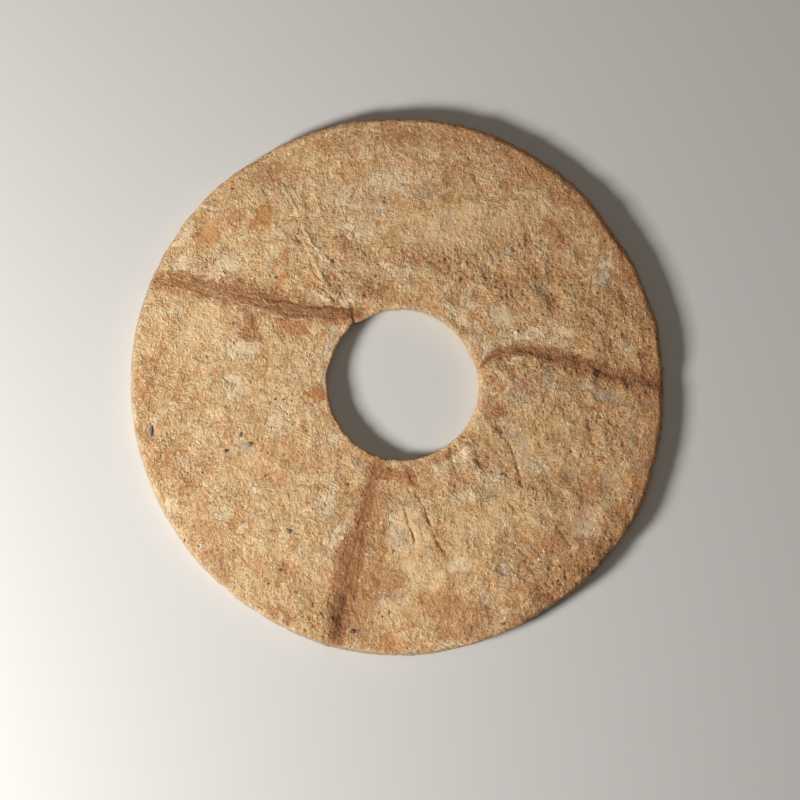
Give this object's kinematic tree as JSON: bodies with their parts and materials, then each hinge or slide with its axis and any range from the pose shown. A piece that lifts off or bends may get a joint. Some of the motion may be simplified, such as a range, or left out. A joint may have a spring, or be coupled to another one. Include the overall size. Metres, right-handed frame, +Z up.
{
  "type": "glass bi disc",
  "caption": "Flat ring of ancient cast glass with a round bore, weathered to a matt tan skin, its face crossed by soil-filled creases.",
  "frame": {"origin": "centre of the flat underside, on the surface that the disc lies on", "axes": "+Z up out of the creased face, along the bore; +X and +Y in the plane of the disc, with one crease running towards -Y"},
  "size_m": [0.1148, 0.1157, 0.0043],
  "materials": {
    "weathered_glass": "opaque matt tan weathering skin, finely grained, mottled pale cream, ochre and brown",
    "burial_soil": "dry brown soil packed into the creases, matt and granular",
    "mineral_grains": "small dark grey-brown mineral grains stuck in the skin, matt"
  },
  "bodies": {
    "root": {"bi_disc": "weathered_glass"}
  },
  "joints": []
}
